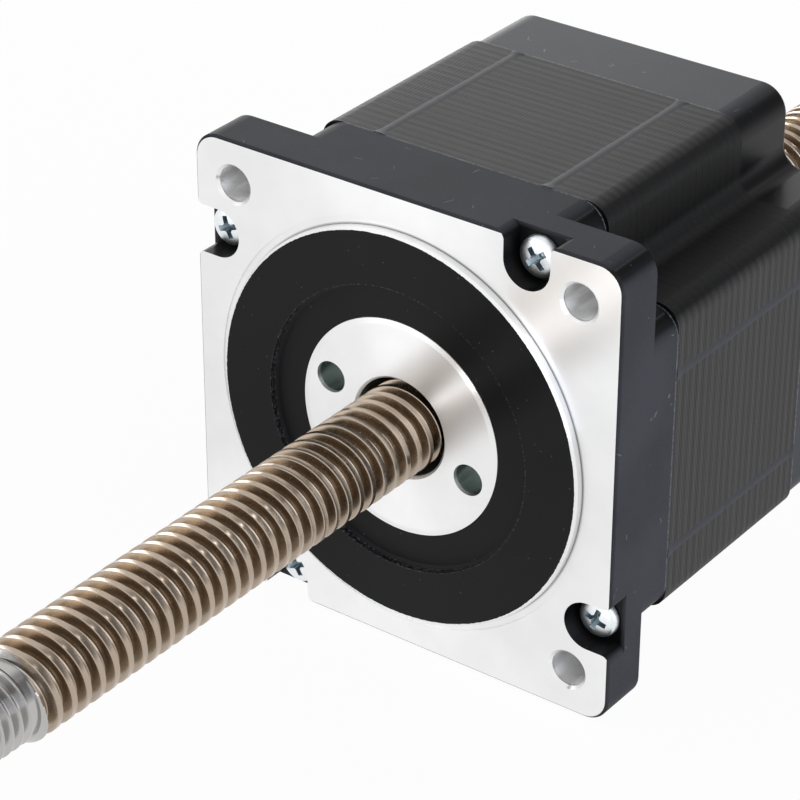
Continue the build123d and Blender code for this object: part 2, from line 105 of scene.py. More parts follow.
def finish_colour(name, description, hex_colour):
    """A colour that a user can change, given as sRGB hex."""
    return FloatVectorProperty(
        name=name, description=description, default=linear(hex_colour), subtype="COLOR", size=4, min=0, max=1
    )


def lamp_power(name, description, watts):
    """The power of a lamp, which a user can change."""
    return FloatProperty(name=name, description=description, default=watts, min=0, unit="POWER")


class LeadScrewSizes(bpy.types.PropertyGroup):
    """Sizes of the trapezoid lead screw and its threaded journal"""

    pitch: length_size("Thread pitch", "From one crest to the next, along the axis", 3.175)
    starts: IntProperty(name="Starts", description="Number of threads side by side", default=2, min=1, max=4)
    thread_depth: length_size("Thread depth", "From crest to root", 1.8)
    crest_width: length_size("Crest width", "Flat top of the thread", 1.2)
    crest_dip: length_size("Crest dip", "Shallow seam that thread rolling leaves along the crest", 0.04)
    corner: length_size("Corner", "Broken edge of the thread", 0.13)
    flank_deg: FloatProperty(name="Flank angle", description="Slope of each flank", default=14.5)
    phase: length_size("Thread start", "How far along the axis the first crest starts", -0.65)
    end_chamfer: length_size("End chamfer", "Chamfer at the rear end of the thread", 1.6)
    shoulder_chamfer: length_size("Shoulder chamfer", "Chamfer beside the journal", 1.0)
    journal_radius: length_size("Journal radius", "Major radius of the threaded journal", 7.0)
    journal_pitch: length_size("Journal pitch", "From one crest to the next", 2.0)
    journal_depth: length_size("Journal thread depth", "From crest to root", 1.15)
    journal_chamfer: length_size("Journal chamfer", "Chamfer at the journal's tip", 1.2)
    neck_radius: length_size("Neck radius", "Undercut between journal and screw", 6.6)
    neck_width: length_size("Neck width", "Width of the undercut", 1.2)
    shoulder: length_size("Shoulder", "Distance from the mounting face to the end of the screw thread", 97.0)
    columns: IntProperty(name="Columns", description="Facets round the screw", default=72, min=24, max=128)


class StackSizes(bpy.types.PropertyGroup):
    """Sizes of the laminations and of the welds that hold them"""

    sheet: length_size("Sheet thickness", "Thickness of one lamination", 0.5)
    gap: length_size("Edge gap", "Half of the groove between two sheets", 0.07)
    groove: length_size("Groove depth", "How deep the groove between two sheets is", 0.05)
    stagger: length_size("Stagger", "How unevenly the sheets' edges line up", 0.01)
    weld_spacing: length_size("Weld spacing", "Distance between the two welds of one side", 34.0)
    weld_width: length_size("Weld width", "Width of the weld bead", 3.0)
    weld_sink: length_size("Weld sink", "Depth of the bead's middle under the flat side", 0.25)
    weld_height: length_size("Weld height", "Half of the bead's thickness", 0.3)
    ripple: length_size("Weld ripple", "Distance between two ripples of the bead", 0.9)


class HousingScrewSizes(bpy.types.PropertyGroup):
    """Sizes of the four cross-recessed screws"""

    across: length_size("Place across", "Distance of a screw from the motor's axis, along the flat side", 24.7)
    head_radius: length_size("Head radius", "Radius of the pan head", 3.6)
    head_height: length_size("Head height", "Height of the pan head", 2.2)
    head_dome: length_size("Head dome", "Height of the dome on the head", 0.9)
    shank_radius: length_size("Shank radius", "Radius of the shank", 1.96)
    thread_pitch: length_size("Thread pitch", "Pitch of the screw's thread", 0.7)
    thread_length: length_size("Thread length", "Threaded stretch at the screw's end", 9.0)
    recess_span: length_size("Recess span", "Across the cross recess, at its mouth", 4.3)
    recess_width: length_size("Recess width", "Width of one wing of the recess", 1.05)
    recess_depth: length_size("Recess depth", "Depth of the recess", 1.7)


class MotorFinishes(bpy.types.PropertyGroup):
    """Colours of the motor's surfaces"""

    coat: finish_colour("Black coat", "Satin black coat of the castings", "0B0B0D")
    # Painted sheen: the outer flats' coat is lighter than the deep black of corners and pockets
    painted_sheen_coat: finish_colour("Coat with painted sheen", "Duller coat of the outermost flats, painted greyer as painted sheen", "3B3C41")
    scuff: finish_colour("Scuff", "Dust, scratches and worn edges of the coat", "707276")
    sheet_edge: finish_colour("Lamination edge", "Blackened edges of the laminations", "0D0D0D")
    # Painted sheen: the sheet edges on the outer flats are lighter than in the notches
    painted_sheen_edge: finish_colour("Sheet edge with painted sheen", "Edges of the sheets on the outermost flats, painted lighter as painted sheen", "3C3A39")
    weld: finish_colour("Weld", "Weld bead under the black finish", "35363B")
    bare_aluminium: finish_colour("Bare aluminium", "Faced and turned aluminium", "F5F5F5")
    # Painted shade in the collar's holes and bore
    shaded_hole_aluminium: finish_colour("Shaded hole aluminium", "Holes and bore of the collar, painted darker as painted shade", "A3ACA9")
    chipped_rim: finish_colour("Chipped rim", "Chips in the coat at the recess's rim", "55565A")
    thread_crest: finish_colour("Thread crest", "Burnished crest of the rolled thread", "B1A292")
    # Painted shade: the grooves are darker than the crests
    shaded_thread_groove: finish_colour("Thread groove", "Groove of the rolled thread, painted darker as painted shade", "A29484")
    journal_steel: finish_colour("Journal steel", "Bare cut steel of the journal", "BAB8B6")
    zinc: finish_colour("Zinc", "Bright zinc plate of the screws", "EDF1F4")
    # Painted shade: the recess is darker than the zinc
    recess: finish_colour("Screw recess", "Walls of the cross recess, painted darker as painted shade", "A3B1B8")
    rubber: finish_colour("Rubber", "Black rubber of the lead grommet", "141414")
    copper: finish_colour("Enamelled copper", "Copper wire under clear enamel", "A8562A")
    nylon: finish_colour("Nylon", "Glass-filled nylon of the insulators", "D8D6CC")
    core_steel: finish_colour("Core steel", "Ground edges of the rotor cores", "9A9B9E")
    bearing_steel: finish_colour("Bearing steel", "Ground bearing steel", "C4C6CA")
    bronze: finish_colour("Bronze", "Machined bearing bronze of the nut", "B08A4A")
    magnet: finish_colour("Nickel", "Nickel plate of the magnet", "A9A8A2")


class StageSettings(bpy.types.PropertyGroup):
    """Camera, lamps and floor"""

    azimuth_deg: FloatProperty(name="Azimuth", description="Camera's turn round the motor", default=36.4486)
    elevation_deg: FloatProperty(name="Elevation", description="Camera's height over the level", default=30.1612)
    roll_deg: FloatProperty(name="Roll", description="Camera's tilt", default=0.124)
    camera_place: FloatVectorProperty(
        name="Camera place", description="Where the camera stands", default=(0.27578, -0.37339, 0.27503), unit="LENGTH"
    )
    lens: FloatProperty(name="Lens", description="Focal length on a 36 mm sensor, in mm", default=145.11)
    ambient: FloatProperty(name="Ambient", description="Light from all round", default=0.42, min=0)
    panel_watts: lamp_power("Panel", "Power of the panel, low at the left and behind", 3.9)
    spot_watts: lamp_power("Spot", "Power of the small lamp above and behind", 0.25)
    side_watts: lamp_power("Side lamp", "Power of the cool lamp at the right", 4.8)
    fill_watts: lamp_power("Fill lamp", "Power of the soft lamp in front, at the left", 1.2)
    front_watts: lamp_power("Front lamp", "Power of the small lamp straight in front", 1.22)
    floor: finish_colour("Floor", "Pale studio floor", "F8F8F8")


def store_mesh(bm, name):
    """Writes a bmesh to a new mesh, and frees it."""
    mesh = bpy.data.meshes.new(name)
    bm.to_mesh(mesh)
    bm.free()
    return mesh


def put_in_scene(bm, name, body, finish):
    """Writes a finished mesh as a piece that rides on a body, with sharp edges kept crisp."""
    bmesh.ops.recalc_face_normals(bm, faces=bm.faces)
    for face in bm.faces:
        face.smooth = True
    for edge in bm.edges:
        edge.smooth = edge.is_manifold and edge.calc_face_angle() < SHARP_ANGLE
    mesh = store_mesh(bm, name)
    mesh.materials.append(finish)
    piece = bpy.data.objects.new(name, mesh)
    bpy.context.scene.collection.objects.link(piece)
    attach(piece, body)
    return piece


def spin_outline(bm, outline, columns, rise=0.0):
    """Spins an outline of (radius, place) points round the motor's axis, rising along it like a thread."""
    verts = [bm.verts.new((radius, place, 0)) for radius, place in outline]
    edges = [bm.edges.new(pair) for pair in zip(verts, verts[1:])]
    bmesh.ops.spin(
        bm,
        geom=verts + edges,
        cent=(0, 0, 0),
        axis=AXIS,
        dvec=AXIS * rise / columns,
        angle=2 * math.pi,
        steps=columns,
        use_merge=False,
    )
    bmesh.ops.remove_doubles(bm, verts=bm.verts, dist=WELD_TOLERANCE)


def cut_thread(first, last, radius, pitch, starts, tooth, columns, chamfers, phase=0.0):
    """A closed threaded bar. The tooth is one pitch's outline of (place, drop) points.

    The bar runs from first to last, and each end has its own chamfer.
    """
    bm = bmesh.new()
    lead = pitch * starts
    at_end = MM / 100
    chamfer_cuts = (1, 0.75, 0.5, 0.25, 0)
    repeats = math.ceil((last - first) / pitch) + 2 * starts
    crests = [first - lead + phase + turn * pitch for turn in range(repeats)]
    spin_outline(bm, [(radius - drop, crest + place) for crest in crests for place, drop in tooth], columns, lead)
    for end, inward, chamfer in ((first, 1, chamfers[0]), (last, -1, chamfers[1])):
        for share in chamfer_cuts:
            bmesh.ops.bisect_plane(
                bm,
                geom=bm.verts[:] + bm.edges[:] + bm.faces[:],
                dist=WELD_TOLERANCE,
                plane_co=AXIS * (end + inward * chamfer * share),
                plane_no=AXIS * inward,
                clear_inner=share == 0,
            )
        open_end = [e for e in bm.edges if e.is_boundary and abs(e.verts[0].co.y - end) < at_end]
        bmesh.ops.holes_fill(bm, edges=open_end)
        for vert in bm.verts:
            reach = (vert.co.y - end) * inward
            here = math.hypot(vert.co.x, vert.co.z)
            if reach < chamfer and here > radius - chamfer + reach:
                scale = (radius - chamfer + reach) / here
                vert.co.x *= scale
                vert.co.z *= scale
    return bm


def screw_tooth(sizes):
    """One pitch of the trapezoid thread: dipped crest, broken corners, sloping flanks and a flat root."""
    run = sizes.thread_depth * math.tan(math.radians(sizes.flank_deg))
    corner, depth, crest, pitch = sizes.corner, sizes.thread_depth, sizes.crest_width, sizes.pitch
    return [
        (0, corner),
        (corner, 0),
        (crest / 2, sizes.crest_dip),
        (crest - corner, 0),
        (crest, corner),
        (crest + run - corner / 2, depth - corner),
        (crest + run + corner, depth),
        (pitch - run - corner, depth),
        (pitch - run + corner / 2, depth - corner),
    ]


def sharp_tooth(pitch, depth):
    """One pitch of a sixty degree fastening thread, with its narrow crest and root."""
    crest = pitch / 8
    run = depth * math.tan(math.radians(30))
    return [(0, 0), (crest, 0), (crest + run, depth), (pitch - run, depth)]


def plug(tree, node, inputs):
    """Gives sockets of a node their values. A value that is another node's output is linked."""
    for name, value in inputs.items():
        if isinstance(value, bpy.types.NodeSocket):
            tree.links.new(value, node.inputs[name])
        else:
            node.inputs[name].default_value = value


def add_node(tree, kind, inputs=None, output=0, **settings):
    """Adds a shader node with its settings and inputs, and gives one of its outputs."""
    node = tree.nodes.new("ShaderNode" + kind)
    for name, value in settings.items():
        setattr(node, name, value)
    plug(tree, node, inputs or {})
    return node.outputs[output]


def new_finish(name, sockets, turned=0.0):
    """A node material with sockets of its shader set, and its tree and object coordinates in millimetres.

    So the scale of each pattern counts its bumps per millimetre. A turned surface has marks that run round
    the motor's axis, and stretches its highlights across them by the given share.
    """
    material = bpy.data.materials.new(name)
    material.use_nodes = True
    tree = material.node_tree
    place = add_node(tree, "TexCoord", output="Object")
    place = add_node(tree, "VectorMath", {0: place, "Scale": 1 / MM}, operation="SCALE")
    give_shader(tree, sockets)
    if turned:
        tangent = add_node(tree, "Tangent", direction_type="RADIAL", axis="Y")
        give_shader(tree, {"Anisotropic": turned, "Anisotropic Rotation": ACROSS_MARKS, "Tangent": tangent})
    return material, tree, place


def give_shader(tree, inputs):
    """Sets or links sockets of a material's Principled shader."""
    plug(tree, tree.nodes["Principled BSDF"], inputs)


def lay_finish(tree, colour, roughness, pattern, strength, height):
    """Gives the shader its colour, its roughness and the bump of a pattern, with its height in millimetres."""
    bump = add_node(tree, "Bump", {"Height": pattern, "Strength": strength, "Distance": height * MM})
    give_shader(tree, {"Base Color": colour, "Roughness": roughness, "Normal": bump})


def axis_places(tree, place):
    """The place as seen along the motor's axis, its distance from the axis, and how far along the axis it lies."""
    level = add_node(tree, "VectorMath", {0: place, 1: (1, 0, 1)}, operation="MULTIPLY")
    radius = add_node(tree, "VectorMath", {0: level}, "Value", operation="LENGTH")
    return level, radius, add_node(tree, "SeparateXYZ", {0: place}, "Y")


def vary(tree, colour, pattern, low, high):
    """A colour that a pattern makes darker and lighter, from a low to a high share."""
    share = add_node(tree, "MapRange", {"Value": pattern, "To Min": low, "To Max": high})
    return add_node(tree, "VectorMath", {0: colour, "Scale": share}, operation="SCALE")


def outer_flats(tree, place):
    """Mask of the motor's sides and back, which hands and benches touch, where coats and sheet edges are painted
    lighter as painted sheen. Cut corners and pockets lie deeper.
    """
    begins, full = half_side / MM - 0.9, half_side / MM - 0.04
    sides = add_node(tree, "VectorMath", {0: place}, operation="ABSOLUTE")
    sides = add_node(tree, "SeparateXYZ", {0: sides}).node.outputs
    reach = add_node(tree, "Math", {0: sides["X"], 1: sides["Z"]}, operation="MAXIMUM")
    back = add_node(tree, "Math", {0: sides["Y"], 1: (half_side - rear_high.y) / MM}, operation="ADD")
    reach = add_node(tree, "Math", {0: reach, 1: back}, operation="MAXIMUM")
    return add_node(tree, "MapRange", {"Value": reach, "From Min": begins, "From Max": full})


def coat_black(tree, place, finishes, seam):
    """Satin black coat on a die casting. Gives its colour, roughness and height.

    The coat flows out into a faint orange peel, about 0.8 mm from bump to bump. It stays glossy and is painted deep
    black in corners and pockets as painted shade, and is duller and painted greyer on the flats as painted sheen, with
    dust and a few light scratches.
    Along its sharp edge against the stack, at the seam's place, it is lighter here and there.
    """
    peel_size = 0.8
    patch_size = 20
    seam_width = 0.3
    scratch_reach = 0.008
    deep_roughness, flat_roughness, patch_roughness = 0.3, 0.43, 0.1
    flats = outer_flats(tree, place)
    peel = add_node(tree, "TexNoise", {"Vector": place, "Scale": 1 / peel_size, "Detail": 3.0})
    patches = add_node(tree, "TexNoise", {"Vector": place, "Scale": 1 / patch_size, "Detail": 4.0})
    grain = add_node(tree, "TexNoise", {"Vector": place, "Scale": 2.4, "Detail": 3.0})
    tone = add_node(tree, "Math", {0: grain, 1: 0.4, 2: patches}, operation="MULTIPLY_ADD")
    tone = {"Value": tone, "From Min": 0.55, "From Max": 0.85, "To Min": 0.8, "To Max": 1.2}
    tone = add_node(tree, "MapRange", tone)
    # Painted light: the outer flats get the lighter coat as painted sheen, corners and pockets the deep black as
    # painted shade
    coat = {0: flats, COLOUR_A: finishes.coat, COLOUR_B: finishes.painted_sheen_coat}
    coat = add_node(tree, "Mix", coat, MIXED_COLOUR, data_type="RGBA")
    coat = add_node(tree, "VectorMath", {0: coat, "Scale": tone}, operation="SCALE")

    dust = add_node(tree, "TexVoronoi", {"Vector": place, "Scale": 0.45})
    dust = {"Value": dust, "From Min": 0.02, "From Max": 0.08, "To Min": 0.45, "To Max": 0.0}
    dust = add_node(tree, "MapRange", dust)
    # Scratches are pieces of the edges between random cells, about 0.15 mm wide
    cells = add_node(tree, "TexVoronoi", {"Vector": place, "Scale": 0.11}, feature="DISTANCE_TO_EDGE")
    line = add_node(tree, "Math", {0: cells, 1: scratch_reach}, operation="LESS_THAN")
    pieces = add_node(tree, "TexNoise", {"Vector": place, "Scale": 0.35})
    pieces = add_node(tree, "Math", {0: pieces, 1: 0.64}, operation="GREATER_THAN")
    scratch = add_node(tree, "Math", {0: line, 1: pieces}, operation="MULTIPLY")
    scratch = add_node(tree, "Math", {0: scratch, 1: flats}, operation="MULTIPLY")
    # The coat is made lighter here and there along the seam
    depth = add_node(tree, "SeparateXYZ", {0: place}, "Y")
    at_seam = add_node(tree, "Math", {0: depth, 1: seam, 2: seam_width}, operation="COMPARE")
    lighter = add_node(tree, "MapRange", {"Value": grain, "From Min": 0.35, "From Max": 0.6})
    lighter = add_node(tree, "Math", {0: lighter, 1: at_seam}, operation="MULTIPLY")
    marks = add_node(tree, "Math", {0: scratch, 1: dust}, operation="MAXIMUM")
    marks = add_node(tree, "Math", {0: marks, 1: lighter}, operation="MAXIMUM")
    marked = {0: marks, COLOUR_A: coat, COLOUR_B: finishes.scuff}
    marked = add_node(tree, "Mix", marked, MIXED_COLOUR, data_type="RGBA")
    rough = {0: flats, VALUE_A: deep_roughness, VALUE_B: flat_roughness}
    rough = add_node(tree, "Mix", rough, data_type="FLOAT")
    rough = add_node(tree, "Math", {0: patches, 1: patch_roughness, 2: rough}, operation="MULTIPLY_ADD")
    return marked, rough, peel


def finish_black_casting(finishes):
    """Die cast aluminium with a satin black coat, all over."""
    material, tree, place = new_finish("satin_black_coated_casting", {"Specular IOR Level": 0.16})
    colour, roughness, peel = coat_black(tree, place, finishes, stack_high.y / MM)
    lay_finish(tree, colour, roughness, peel, strength=0.3, height=0.05)
    return material


def faced_mask(tree, place, level, radius, depth):
    """Mask of the turned mounting face with the pilot's wall, and mask of the four drilled holes.

    The pilot's end stayed black, and the tool left a ragged edge to its coat.
    """
    face_depth = 0.02
    relief_radius, relief_depth = 38.05, 0.3
    painted_radius, rag = 36.05, 0.35
    flat_reach, flat_round = half_side / MM - 4.8, 4.32
    hole_place, hole_reach, hole_wall, hole_mouth = 34.8, 3.85, 3.4, 0.6
    ragged = add_node(tree, "TexNoise", {"Vector": place, "Scale": 1.6, "Detail": 5.0, "Roughness": 0.7})
    edge = add_node(tree, "Math", {0: ragged, 1: rag, 2: painted_radius - rag / 2}, operation="MULTIPLY_ADD")
    outside = add_node(tree, "Math", {0: radius, 1: edge}, operation="GREATER_THAN")
    face = add_node(tree, "Math", {0: depth, 1: face_depth}, operation="LESS_THAN")
    relief = add_node(tree, "Math", {0: radius, 1: relief_radius}, operation="LESS_THAN")
    shallow = add_node(tree, "Math", {0: depth, 1: relief_depth}, operation="LESS_THAN")
    relief = add_node(tree, "Math", {0: relief, 1: shallow}, operation="MULTIPLY")
    front = add_node(tree, "Math", {0: face, 1: relief}, operation="MAXIMUM")
    folded = add_node(tree, "VectorMath", {0: level}, operation="ABSOLUTE")
    corner = add_node(tree, "VectorMath", {0: folded, 1: (flat_reach, 0, flat_reach)}, operation="SUBTRACT")
    beyond = add_node(tree, "VectorMath", {0: corner, 1: (0, 0, 0)}, operation="MAXIMUM")
    beyond = add_node(tree, "VectorMath", {0: beyond}, "Value", operation="LENGTH")
    inside = add_node(tree, "Math", {0: beyond, 1: flat_round}, operation="LESS_THAN")
    faced = add_node(tree, "Math", {0: outside, 1: front}, operation="MULTIPLY")
    faced = add_node(tree, "Math", {0: faced, 1: inside}, operation="MULTIPLY")
    hole = (hole_place, 0, hole_place)
    from_hole = add_node(tree, "VectorMath", {0: folded, 1: hole}, "Value", operation="DISTANCE")
    mouth = {"Value": depth, "From Max": hole_mouth, "To Min": hole_reach, "To Max": hole_wall}
    mouth = add_node(tree, "MapRange", mouth)
    return faced, add_node(tree, "Math", {0: from_hole, 1: mouth}, operation="LESS_THAN")


def finish_faced_casting(finishes):
    """The same black casting, with its mounting face, pilot wall and holes machined bare afterwards.

    The face was turned round the axis, so it has concentric marks that draw the light out into rays.
    """
    material, tree, place = new_finish("faced_black_casting", {"Specular IOR Level": 0.16}, turned=0.95)
    bore_start, bore_full = 0.6, 1.2
    recess_rim, rim_width = 26.4, 0.22
    groove_foot, groove_top, groove_depth = 36.6, 36.95, 0.1
    face_roughness, bore_roughness = 0.3, 0.58
    face_marks, bore_marks = 0.03 * MM, 0.35 * MM
    level, radius, depth = axis_places(tree, place)
    coat, coat_roughness, peel = coat_black(tree, place, finishes, stack_low.y / MM)
    faced, drilled = faced_mask(tree, place, level, radius, depth)
    bare = add_node(tree, "Math", {0: faced, 1: drilled}, operation="MAXIMUM")
    in_bore = add_node(tree, "MapRange", {"Value": depth, "From Min": bore_start, "From Max": bore_full})
    in_bore = add_node(tree, "Math", {0: drilled, 1: in_bore}, operation="MULTIPLY")

    # Facing marks are about 0.12 mm apart on the real one, and drawn three times as coarse to show
    rings = add_node(tree, "TexNoise", {"W": radius, "Scale": 2.8, "Detail": 2.0}, noise_dimensions="1D")
    bores = add_node(tree, "TexNoise", {"Vector": place, "Scale": 2.6, "Detail": 3.0})
    marks = add_node(tree, "Mix", {0: drilled, VALUE_A: rings, VALUE_B: bores}, data_type="FLOAT")

    # The bare metal is a little cloudy, and painted darker in the bores and in the groove at the pilot's foot, as
    # painted shade
    cloud = add_node(tree, "TexNoise", {"Vector": place, "Scale": 0.08, "Detail": 3.0})
    cloud = {"Value": cloud, "From Min": 0.35, "From Max": 0.65, "To Min": 0.94, "To Max": 1.0}
    silver = add_node(tree, "MapRange", cloud)
    bore_shade = add_node(tree, "Math", {0: in_bore, 1: -0.12, 2: 1.0}, operation="MULTIPLY_ADD")
    silver = add_node(tree, "Math", {0: silver, 1: bore_shade}, operation="MULTIPLY")
    groove = {"Value": radius, "From Min": groove_foot, "From Max": groove_top, "To Min": 0.45}
    groove = add_node(tree, "MapRange", groove)
    above = add_node(tree, "Math", {0: depth, 1: groove_depth}, operation="LESS_THAN")
    outside_groove_shade = add_node(tree, "Math", {0: groove, 1: above}, operation="MAXIMUM")
    silver = add_node(tree, "Math", {0: silver, 1: outside_groove_shade}, operation="MULTIPLY")
    metal = {0: finishes.bare_aluminium[:3], "Scale": silver}
    metal = add_node(tree, "VectorMath", metal, operation="SCALE")

    from_rim = add_node(tree, "Math", {0: radius, 1: recess_rim}, operation="SUBTRACT")
    from_rim = add_node(tree, "Math", {0: from_rim}, operation="ABSOLUTE")
    rim = add_node(tree, "MapRange", {"Value": from_rim, "From Max": rim_width, "To Min": 1.0, "To Max": 0.0})
    chips = add_node(tree, "MapRange", {"Value": bores, "From Min": 0.5, "From Max": 0.62})
    chips = add_node(tree, "Math", {0: rim, 1: chips}, operation="MULTIPLY")
    chipped = {0: chips, COLOUR_A: coat, COLOUR_B: finishes.chipped_rim}
    chipped = add_node(tree, "Mix", chipped, MIXED_COLOUR, data_type="RGBA")
    colour = {0: bare, COLOUR_A: chipped, COLOUR_B: metal}
    colour = add_node(tree, "Mix", colour, MIXED_COLOUR, data_type="RGBA")
    rough = add_node(tree, "MapRange", {"Value": in_bore, "To Min": face_roughness, "To Max": bore_roughness})
    rough = add_node(tree, "Mix", {0: bare, VALUE_A: coat_roughness, VALUE_B: rough}, data_type="FLOAT")
    height = add_node(tree, "Mix", {0: bare, VALUE_A: peel, VALUE_B: marks}, data_type="FLOAT")
    # Drill marks in the holes stand higher than the facing marks
    reach = add_node(tree, "MapRange", {"Value": in_bore, "To Min": face_marks, "To Max": bore_marks})
    bump = add_node(tree, "Bump", {"Height": height, "Strength": 0.12, "Distance": reach})
    give_shader(tree, {"Base Color": colour, "Metallic": bare, "Roughness": rough, "Normal": bump})
    return material


def finish_laminations(finishes):
    """Stamped electrical steel, blackened with the stack. The sheets' sheared edges differ a little in tone."""
    material, tree, place = new_finish("blackened_lamination_edges", {"Specular IOR Level": 0.18})
    sheet_thickness = 0.5
    lot_thickness = 2
    lot_start = 0.4
    depth = add_node(tree, "SeparateXYZ", {0: place}, "Y")
    sheet = add_node(tree, "Math", {0: depth, 1: sheet_thickness}, operation="DIVIDE")
    sheet = add_node(tree, "Math", {0: sheet}, operation="FLOOR")
    sheet = add_node(tree, "TexWhiteNoise", {"W": sheet}, noise_dimensions="1D")
    sheet = add_node(tree, "MapRange", {"Value": sheet, "To Min": 0.92, "To Max": 1.08})
    # Sheets are stacked four at a time, each lot turned against the last, so the edges catch the light in bands; these
    # bands are painted into the colour as painted sheen
    turn = 2 * math.pi / lot_thickness
    lot = add_node(tree, "Math", {0: depth, 1: turn, 2: lot_start}, operation="MULTIPLY_ADD")
    lot = add_node(tree, "Math", {0: lot}, operation="SINE")
    lot = add_node(tree, "MapRange", {"Value": lot, "From Min": -1, "To Min": 0.74, "To Max": 1.26})
    share = add_node(tree, "Math", {0: sheet, 1: lot}, operation="MULTIPLY")
    # The outermost flats get lighter sheet edges as painted sheen, and the deeper edges stay black as painted shade
    edges = {0: outer_flats(tree, place), COLOUR_A: finishes.sheet_edge, COLOUR_B: finishes.painted_sheen_edge}
    edge = add_node(tree, "Mix", edges, MIXED_COLOUR, data_type="RGBA")
    colour = add_node(tree, "VectorMath", {0: edge, "Scale": share}, operation="SCALE")
    # Shear marks run across each sheet's edge, about 0.3 mm long
    grain = add_node(tree, "TexNoise", {"Vector": place, "Scale": 3.2, "Detail": 4.0, "Roughness": 0.7})
    rough = add_node(tree, "MapRange", {"Value": grain, "To Min": 0.36, "To Max": 0.6})
    lay_finish(tree, colour, rough, grain, strength=0.15, height=0.03)
    return material


def finish_weld(finishes):
    """Weld bead under the black finish: smoother than the sheared sheets, so it catches more light. Its lighter colour
    is painted sheen.
    """
    material, tree, place = new_finish("blackened_weld_bead", {"Specular IOR Level": 0.2})
    grain = add_node(tree, "TexNoise", {"Vector": place, "Scale": 1.8, "Detail": 3.0})
    # The bead's colour is lighter than the sheets' as painted sheen
    colour = vary(tree, finishes.weld[:3], grain, 0.7, 1.3)
    lay_finish(tree, colour, 0.5, grain, strength=0.2, height=0.05)
    return material


def finish_rolled_thread(finishes, crest_radius, cut_place):
    """Rolled steel thread: one warm grey metal, burnished on the crests, and painted darker and browner in the grooves
    as painted shade.

    The end beside the journal was cut after rolling, so it is bare steel up to the cut's place.
    """
    material, tree, place = new_finish("rolled_thread_steel", {"Metallic": 1.0}, turned=0.3)
    burnish_foot, burnish_top = crest_radius - 0.6, crest_radius - 0.1
    cut_start, cut_end = cut_place - 0.1, cut_place + 0.2
    wander = 0.4
    _, radius, depth = axis_places(tree, place)
    smear = add_node(tree, "TexNoise", {"Vector": place, "Scale": 0.7, "Detail": 5.0, "Roughness": 0.65})
    uneven = add_node(tree, "Math", {0: smear, 1: wander, 2: -wander / 2}, operation="MULTIPLY_ADD")
    crest = add_node(tree, "Math", {0: radius, 1: uneven}, operation="ADD")
    crest = add_node(tree, "MapRange", {"Value": crest, "From Min": burnish_foot, "From Max": burnish_top})
    # The grooves are painted darker and browner than the crests, as painted shade, with a mottle
    groove_mottle = add_node(tree, "TexNoise", {"Vector": place, "Scale": 0.22, "Detail": 3.0})
    groove = vary(tree, finishes.shaded_thread_groove[:3], groove_mottle, 0.75, 1.25)
    rolled = {0: crest, COLOUR_A: groove, COLOUR_B: finishes.thread_crest}
    rolled = add_node(tree, "Mix", rolled, MIXED_COLOUR, data_type="RGBA")
    cut = {"Value": depth, "From Min": cut_start, "From Max": cut_end, "To Min": 1.0, "To Max": 0.0}
    cut = add_node(tree, "MapRange", cut)
    colour = {0: cut, COLOUR_A: rolled, COLOUR_B: finishes.journal_steel}
    colour = add_node(tree, "Mix", colour, MIXED_COLOUR, data_type="RGBA")
    rough = add_node(tree, "MapRange", {"Value": smear, "To Min": 0.16, "To Max": 0.34})
    # Burnishing lines run round the crest, about 0.1 mm apart, drawn at 0.25 mm to show
    lines = add_node(tree, "Mapping", {"Vector": place, "Scale": (0.5, 4.0, 0.5)})
    lines = add_node(tree, "TexNoise", {"Vector": lines, "Scale": 1.0, "Detail": 3.0})
    lay_finish(tree, colour, rough, lines, strength=0.25, height=0.03)
    return material


def finish_turned_metal(name, colour, roughness, mark_spacing, mark_depth):
    """Turned or ground metal. Tool marks run round the motor's axis, at their spacing in millimetres."""
    material, tree, place = new_finish(name, {"Metallic": 1.0}, turned=0.4)
    _, radius, depth = axis_places(tree, place)
    along = add_node(tree, "Math", {0: radius, 1: depth}, operation="ADD")
    marks = {"W": along, "Scale": 1 / mark_spacing, "Detail": 2.0}
    marks = add_node(tree, "TexNoise", marks, noise_dimensions="1D")
    cloud = add_node(tree, "TexNoise", {"Vector": place, "Scale": 0.15, "Detail": 4.0})
    tone = vary(tree, colour[:3], cloud, 0.9, 1.08)
    rough = {"Value": marks, "To Min": roughness * 0.8, "To Max": roughness * 1.25}
    rough = add_node(tree, "MapRange", rough)
    lay_finish(tree, tone, rough, marks, strength=0.3, height=mark_depth)
    return material


def finish_turned_collar(finishes):
    """Turned aluminium. Its faced end throws rays of light; its holes and bore see little light, and are painted
    darker as painted shade.
    """
    material, tree, place = new_finish("turned_aluminium_collar", {"Metallic": 1.0}, turned=0.95)
    shade_start, shade_full = collar_low.y / MM + 0.6, collar_low.y / MM + 1.0
    face_roughness, hole_roughness = 0.32, 0.24
    _, radius, depth = axis_places(tree, place)
    cloud = add_node(tree, "TexNoise", {"Vector": place, "Scale": 0.15, "Detail": 4.0})
    tone = vary(tree, finishes.bare_aluminium[:3], cloud, 0.93, 1.05)
    # The holes and bore are painted darker, as painted shade
    deep = add_node(tree, "MapRange", {"Value": depth, "From Min": shade_start, "From Max": shade_full})
    colour = {0: deep, COLOUR_A: tone, COLOUR_B: finishes.shaded_hole_aluminium}
    colour = add_node(tree, "Mix", colour, MIXED_COLOUR, data_type="RGBA")
    rough = {0: deep, VALUE_A: face_roughness, VALUE_B: hole_roughness}
    rough = add_node(tree, "Mix", rough, data_type="FLOAT")
    # Facing marks are about 0.1 mm apart on the real one, and drawn three times as coarse to show
    marks = add_node(tree, "TexNoise", {"W": radius, "Scale": 3.0, "Detail": 2.0}, noise_dimensions="1D")
    lay_finish(tree, colour, rough, marks, strength=0.12, height=0.03)
    return material


